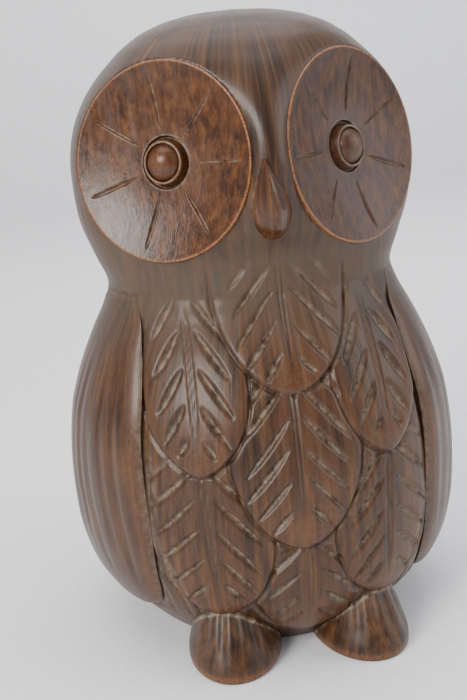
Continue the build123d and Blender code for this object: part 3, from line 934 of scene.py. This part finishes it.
def stained_wood(name, stain, warm, haze, haze_amount, gloss, stretch=0.09, neck_band=False):
    """Dark stained wood with lacquer, haze and wax in the cuts."""
    material, nodes, links, shader = new_material(name)
    place = nodes.new("ShaderNodeTexCoord").outputs["Object"]
    brush_node = nodes.new("ShaderNodeAttribute")
    brush_node.attribute_name = "brush"
    brush = brush_node.outputs["Vector"]
    streaks = add_noise(nodes, links, brush, (1, 1, stretch), 320, 5, 0.66)
    blotches = add_noise(nodes, links, place, (1, 1, 0.6), 42, 5, 0.6)
    pores = add_noise(nodes, links, brush, (1, 1, 0.16), 1150, 3, 0.7)
    grains = add_noise(nodes, links, place, (1, 1, 1), 1300, 4, 0.7)

    colour = add_ramp(nodes, links, streaks, stain)
    warmth = range_of(nodes, links, blotches, 0.42, 0.70)
    colour = add_mix(nodes, links, multiply(nodes, links, warmth, 0.6), colour, warm)
    fleck = range_of(nodes, links, pores, 0.54, 0.68)
    colour = add_mix(nodes, links, multiply(nodes, links, fleck, 0.55), colour, PORE)

    dust = range_of(nodes, links, add_noise(nodes, links, brush, (1, 1, 0.12), 420, 6, 0.7), 0.44, 0.70)
    cloud = range_of(nodes, links, add_noise(nodes, links, place, (1, 1, 0.7), 24, 3, 0.5), 0.36, 0.66)
    film = multiply(nodes, links, dust, cloud, haze_amount)
    if neck_band:
        film = add_math(nodes, links, "MAXIMUM", film, neck_film(nodes, links, place, brush))
    colour = add_mix(nodes, links, film, colour, haze)

    crumbs = range_of(nodes, links, grains, 0.36, 0.56)
    rubbed = multiply(nodes, links, number_on(nodes, "worn"), crumbs, 0.5)
    colour = add_mix(nodes, links, rubbed, colour, RUBBED)
    kept = range_of(nodes, links, add_noise(nodes, links, place, (1, 1, 1), 300, 4, 0.65), 0.36, 0.60)
    left_behind = add_math(nodes, links, "MULTIPLY_ADD", crumbs, 0.5)
    left_behind.node.inputs[2].default_value = 0.45
    waxed = multiply(nodes, links, number_on(nodes, "wax"), left_behind, kept)
    colour = add_mix(nodes, links, waxed, colour, WAX)
    links.new(colour, shader.inputs["Base Color"])

    rough = add_math(nodes, links, "MULTIPLY_ADD", streaks, 0.22)
    rough.node.inputs[2].default_value = gloss
    rough = add_math(nodes, links, "ADD", rough, multiply(nodes, links, waxed, 0.3))
    rough = add_math(nodes, links, "ADD", rough, multiply(nodes, links, film, 0.45))
    links.new(rough, shader.inputs["Roughness"])
    shader.inputs["Specular IOR Level"].default_value = 0.33
    shader.inputs["Coat Weight"].default_value = 0.12
    shader.inputs["Coat Roughness"].default_value = 0.18

    bump = nodes.new("ShaderNodeBump")
    bump.inputs["Strength"].default_value = 0.45
    bump.inputs["Distance"].default_value = 0.0004
    marks = add_math(nodes, links, "SUBTRACT", streaks, multiply(nodes, links, pores, 0.5))
    links.new(marks, bump.inputs["Height"])
    links.new(bump.outputs["Normal"], shader.inputs["Normal"])
    return material


body_stain = [
    (0.33, (0.010, 0.0034, 0.0012)), (0.45, (0.036, 0.0130, 0.0038)), (0.56, (0.067, 0.0255, 0.0066)),
    (0.70, (0.118, 0.0500, 0.0145)),
]
disc_stain = [
    (0.30, (0.0140, 0.0044, 0.0019)), (0.44, (0.0429, 0.0133, 0.0037)), (0.56, (0.0819, 0.0266, 0.0059)),
    (0.72, (0.1443, 0.0518, 0.0112)),
]
body_warm, grey_warm, red_warm = (0.078, 0.028, 0.008), (0.075, 0.034, 0.018), (0.125, 0.041, 0.009)
finishes = {
    "body": stained_wood(
        "stained_body", body_stain, body_warm, (0.098, 0.072, 0.050), 0.30, 0.28, neck_band=True
    ),
    # painted sheen: both discs, with their rings and beads, are the same turned wood; the owl's left set
    # gets a greyer warmth and twice the haze of the right set, and that extra grey is painted sheen,
    # while the stain and the rest of the haze are real
    "disc_left": stained_wood(
        "stained_disc_left", disc_stain, grey_warm, (0.092, 0.069, 0.061), 0.80, 0.25, stretch=0.4
    ),
    "disc_right": stained_wood(
        "stained_disc_right", disc_stain, red_warm, (0.100, 0.068, 0.052), 0.40, 0.14, stretch=0.5
    ),
    "beak": stained_wood("stained_beak", disc_stain, body_warm, (0.098, 0.072, 0.050), 0.30, 0.12),
}
for piece in bpy.data.objects:
    if piece.type != "MESH" or piece.name.split("_")[-1] not in ("carved", "turned"):
        continue
    finish = "body"
    if "disc_left" in piece.name or "left_turned" in piece.name:
        finish = "disc_left"
    if "disc_right" in piece.name or "right_turned" in piece.name:
        finish = "disc_right"
    if "beak" in piece.name:
        finish = "beak"
    piece.data.materials.clear()
    piece.data.materials.append(finishes[finish])
    print(piece.name, finish)

# %% [markdown]
# ## Bare dowels
# The dowels inside are plain beech, hidden when the owl is together.

# %% Dowels
material, nodes, links, shader = new_material("bare_beech")
place = nodes.new("ShaderNodeTexCoord").outputs["Object"]
beech = add_noise(nodes, links, place, (1, 1, 0.08), 700, 4, 0.6)
flecks = add_noise(nodes, links, place, (1, 1, 0.3), 2200, 2, 0.6)
colour = add_ramp(nodes, links, beech, [(0.3, (0.42, 0.27, 0.15)), (0.7, (0.62, 0.45, 0.28))])
colour = add_mix(nodes, links, range_of(nodes, links, flecks, 0.62, 0.7), colour, (0.30, 0.17, 0.09))
links.new(colour, shader.inputs["Base Color"])
links.new(range_of(nodes, links, beech, -1.5, 1.2), shader.inputs["Roughness"])
for node in ("neck_dowel", "wing_dowels", "foot_dowels"):
    piece = frame["nodes"][node]
    for slot in piece.material_slots:
        slot.material = material

# %% [markdown]
# ## Floor, wall and light
# A pale sheet rises behind the owl in one curve, so there is no hard line at the back.  The light
# is a soft window at the upper left, a weaker and larger one at the right, a wide light
# overhead, and a pale room.

# %% Studio
SHEET_FLAT = 0.62  # where the flat floor ends, behind the owl
SHEET_CURVE = 0.35  # radius of the curve up into the wall


def make_backdrop():
    bm = bmesh.new()
    bmesh.ops.create_grid(bm, x_segments=20, y_segments=80, size=1)
    for vert in bm.verts:
        run = (vert.co.y + 1) * 1.4 - 0.9
        vert.co.x *= 2.2
        if run < SHEET_FLAT:
            vert.co.y, vert.co.z = run, 0
        else:
            turn = min((run - SHEET_FLAT) / SHEET_CURVE, pi / 2)
            rest = max(run - SHEET_FLAT - SHEET_CURVE * pi / 2, 0)
            vert.co.y = SHEET_FLAT + SHEET_CURVE * sin(turn)
            vert.co.z = SHEET_CURVE * (1 - cos(turn)) + rest
    mesh = bpy.data.meshes.new("backdrop")
    bm.to_mesh(mesh)
    bm.free()
    mesh.shade_smooth()
    backdrop = bpy.data.objects.new("backdrop", mesh)
    bpy.context.collection.objects.link(backdrop)
    material, nodes, links, shader = new_material("pale_paper")
    place = nodes.new("ShaderNodeTexCoord").outputs["Object"]
    fibre = add_noise(nodes, links, place, (1, 1, 1), 260, 4, 0.6)
    grain = add_ramp(nodes, links, fibre, [(0.3, (0.93, 0.93, 0.93)), (0.7, (1.0, 1.0, 1.0))])
    height = nodes.new("ShaderNodeSeparateXYZ")
    links.new(place, height.inputs[0])
    level = range_of(nodes, links, height.outputs["Z"], 0.0, 1.0)
    # painted shade: the sheet is darker in a band low on the wall, just above where it curves up from
    # the floor
    painted_wall_shade = add_ramp(
        nodes, links, level,
        [(0.0, (0.97, 0.97, 0.99)), (0.08, (0.70, 0.70, 0.72)), (0.45, (0.96, 0.96, 0.98))],
    )
    colour = add_mix(nodes, links, 1.0, painted_wall_shade, grain, "MULTIPLY")
    # painted shade: the sheet is darker towards the left
    across = range_of(nodes, links, height.outputs["X"], -0.55, 0.10)
    painted_left_shade = add_ramp(nodes, links, across, [(0.0, (0.80, 0.80, 0.80)), (1.0, (1.0, 1.0, 1.0))])
    colour = add_mix(nodes, links, 1.0, colour, painted_left_shade, "MULTIPLY")
    links.new(colour, shader.inputs["Base Color"])
    shader.inputs["Roughness"].default_value = 0.8
    mesh.materials.append(material)


def add_window(name, place, target, size, power, colour):
    light = bpy.data.lights.new(name, "AREA")
    light.shape = "RECTANGLE"
    light.size, light.size_y = size
    light.energy = power
    light.color = colour
    lamp = bpy.data.objects.new(name, light)
    lamp.location = place
    lamp.rotation_euler = (Vector(target) - Vector(place)).to_track_quat("-Z", "Y").to_euler()
    bpy.context.collection.objects.link(lamp)


make_backdrop()
centre = (0, 0, 0.13)
add_window("window_left", (-1.02, -0.92, 0.83), centre, (0.62, 0.62), 24, (1.0, 0.98, 0.95))
add_window("window_right", (1.2, -0.35, 0.7), centre, (0.8, 1.0), 8, (0.92, 0.96, 1.0))
add_window("ceiling", (0.0, 0.25, 1.5), centre, (1.6, 1.4), 18, (1.0, 1.0, 1.0))
world = bpy.data.worlds.new("room")
world.use_nodes = True
world.node_tree.nodes["Background"].inputs["Color"].default_value = (0.82, 0.86, 0.92, 1)
world.node_tree.nodes["Background"].inputs["Strength"].default_value = 0.66
bpy.context.scene.world = world
